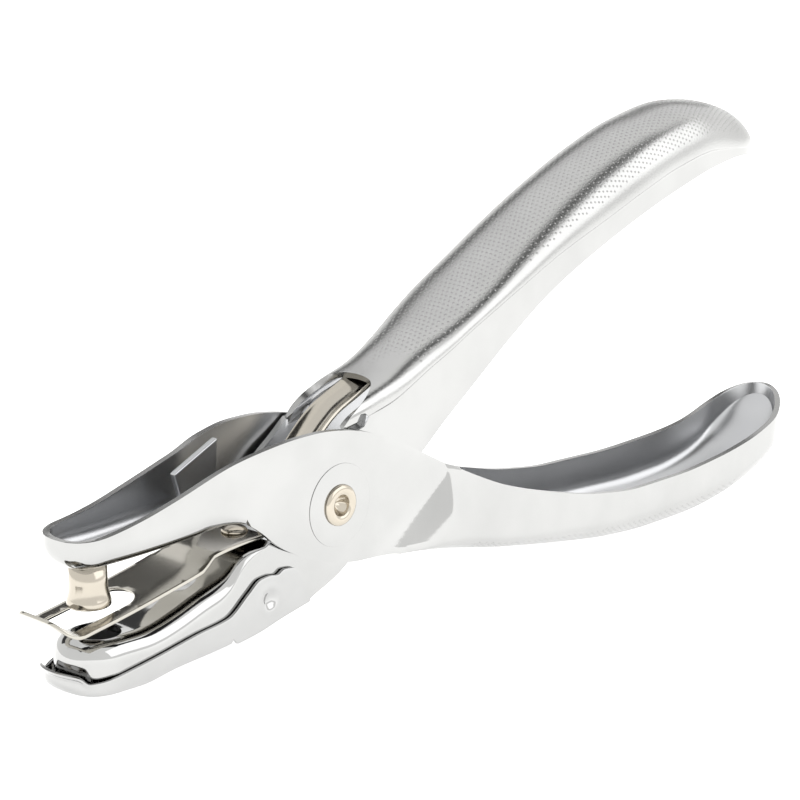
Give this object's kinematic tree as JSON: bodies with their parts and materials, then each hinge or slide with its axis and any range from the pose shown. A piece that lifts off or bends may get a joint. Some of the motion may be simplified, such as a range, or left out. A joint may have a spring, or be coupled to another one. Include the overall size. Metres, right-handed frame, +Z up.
{
  "type": "one-hole plier punch",
  "caption": "Hand-held plier punch that cuts one round hole in paper, with a stripper strip and a clip-on chip tray.",
  "frame": {"origin": "middle of the punch's length and width, on the surface it stands on", "axes": "+X from the jaws to the handle ends, +Y along the pivot, +Z up, standing on the chip tray and the lower handle"},
  "size_m": [0.1627, 0.0202, 0.0692],
  "materials": {
    "lever_chrome": "bright chrome plate on pressed steel, fine satin dot pattern on the palm faces",
    "punch_steel": "turned hardened steel, nickel plated",
    "rivet_nickel": "bright nickel plate",
    "spring_steel": "tempered spring strip",
    "strip_nickel": "bright nickel plate",
    "tray_chrome": "bright chrome plate on thin sheet"
  },
  "bodies": {
    "outer": {"outer_lever": "lever_chrome", "punch_pin": "punch_steel", "pivot_rivet": "rivet_nickel"},
    "inner": {"inner_lever": "lever_chrome", "return_spring": "spring_steel", "stripper_strip": "strip_nickel", "strip_rivet": "rivet_nickel"},
    "tray": {"chip_tray": "tray_chrome"}
  },
  "joints": [
    {"name": "lever_pivot", "type": "hinge", "parent": "outer", "child": "inner", "pos_m": [-0.03368, 0, 0.0186], "axis": [0, 1, 0], "range_deg": [0, 9], "stiffness_Nm_per_rad": 2.5, "springref_deg": -9.17, "deforming": ["return_spring"]},
    {"name": "tray_hinge", "type": "hinge", "parent": "inner", "child": "tray", "pos_m": [-0.04578, 0, 0.0071], "axis": [0, -1, 0], "range_deg": [0, 60]}
  ]
}
